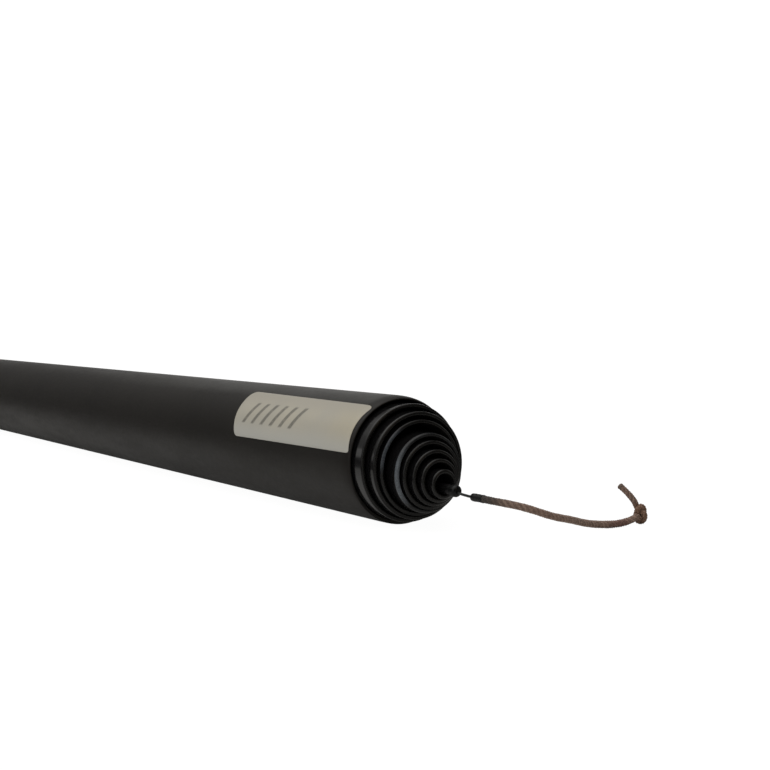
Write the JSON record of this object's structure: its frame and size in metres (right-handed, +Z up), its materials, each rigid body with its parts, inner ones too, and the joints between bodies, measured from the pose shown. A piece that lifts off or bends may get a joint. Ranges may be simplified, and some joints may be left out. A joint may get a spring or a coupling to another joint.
{
  "type": "telescopic whip rod",
  "caption": "Long telescopic fishing whip, shown collapsed: slim nested tube sections in a satin butt, a screw cap behind and a short braided line cord with a knot at the tip.",
  "frame": {"origin": "centre of the flat end face at the butt, which is the rubber pad in the screw cap", "axes": "+X along the rod from the butt cap to the tip, +Z up with the rod lying on the bottom line of its butt section, +Y to the left when looking from the butt to the tip"},
  "size_m": [0.4637, 0.0512, 0.0264],
  "materials": {
    "butt_lacquer": "satin",
    "label_film": "satin",
    "ring_metal": "satin",
    "section_lacquer": "gloss",
    "tip_lacquer": "gloss",
    "sleeve_composite": "matte",
    "bead_plastic": "satin",
    "wire_steel": "satin",
    "collar_plastic": "satin",
    "cord_braid": "matte",
    "cap_plastic": "satin",
    "pad_rubber": "matte",
    "plug_rubber": "matte",
    "seal_rubber": "matte"
  },
  "bodies": {
    "butt": {"butt_section": "butt_lacquer", "label": "label_film", "threaded_ring": "ring_metal"},
    "section_2": {"section_2": "section_lacquer"},
    "section_3": {"section_3": "section_lacquer"},
    "section_4": {"section_4": "section_lacquer"},
    "section_5": {"section_5": "section_lacquer"},
    "section_6": {"section_6": "section_lacquer"},
    "section_7": {"section_7": "section_lacquer"},
    "section_8": {"section_8": "section_lacquer"},
    "section_9": {"section_9": "section_lacquer"},
    "tip": {"tip_section": "tip_lacquer", "tip_base_sleeve": "sleeve_composite", "tip_bead": "bead_plastic", "tip_wire": "wire_steel", "cord_collar": "collar_plastic", "tip_cord": "cord_braid", "cord_knot": "cord_braid", "cord_tail": "cord_braid"},
    "cap_seal": {"cap_seal_ring": "seal_rubber"},
    "butt_cap": {"butt_cap": "cap_plastic", "cap_face_pad": "pad_rubber", "shock_plug": "plug_rubber"}
  },
  "joints": [
    {"name": "section_2_slide", "type": "slide", "parent": "butt", "child": "section_2", "axis": [1, 0, 0], "range_m": [0, 0.3765]},
    {"name": "section_3_slide", "type": "slide", "parent": "section_2", "child": "section_3", "axis": [1, 0, 0], "range_m": [0, 0.3816]},
    {"name": "section_4_slide", "type": "slide", "parent": "section_3", "child": "section_4", "axis": [1, 0, 0], "range_m": [0, 0.386]},
    {"name": "section_5_slide", "type": "slide", "parent": "section_4", "child": "section_5", "axis": [1, 0, 0], "range_m": [0, 0.3886]},
    {"name": "section_6_slide", "type": "slide", "parent": "section_5", "child": "section_6", "axis": [1, 0, 0], "range_m": [0, 0.3933]},
    {"name": "section_7_slide", "type": "slide", "parent": "section_6", "child": "section_7", "axis": [1, 0, 0], "range_m": [0, 0.3961]},
    {"name": "section_8_slide", "type": "slide", "parent": "section_7", "child": "section_8", "axis": [1, 0, 0], "range_m": [0, 0.3994]},
    {"name": "section_9_slide", "type": "slide", "parent": "section_8", "child": "section_9", "axis": [1, 0, 0], "range_m": [0, 0.4025]},
    {"name": "tip_slide", "type": "slide", "parent": "section_9", "child": "tip", "axis": [1, 0, 0], "range_m": [0, 0.4059]},
    {"name": "cap_travel", "type": "slide", "parent": "butt", "child": "cap_seal", "axis": [-1, 0, 0], "range_m": [0, 0.01]},
    {"name": "cap_turn", "type": "hinge", "parent": "cap_seal", "child": "butt_cap", "pos_m": [0, 0, 0], "axis": [-1, 0, 0], "range_deg": [0, 1440]}
  ],
  "couplings": [
    {"joint": "cap_travel", "follows": "cap_turn", "m_per_rad": 0.00039789}
  ]
}
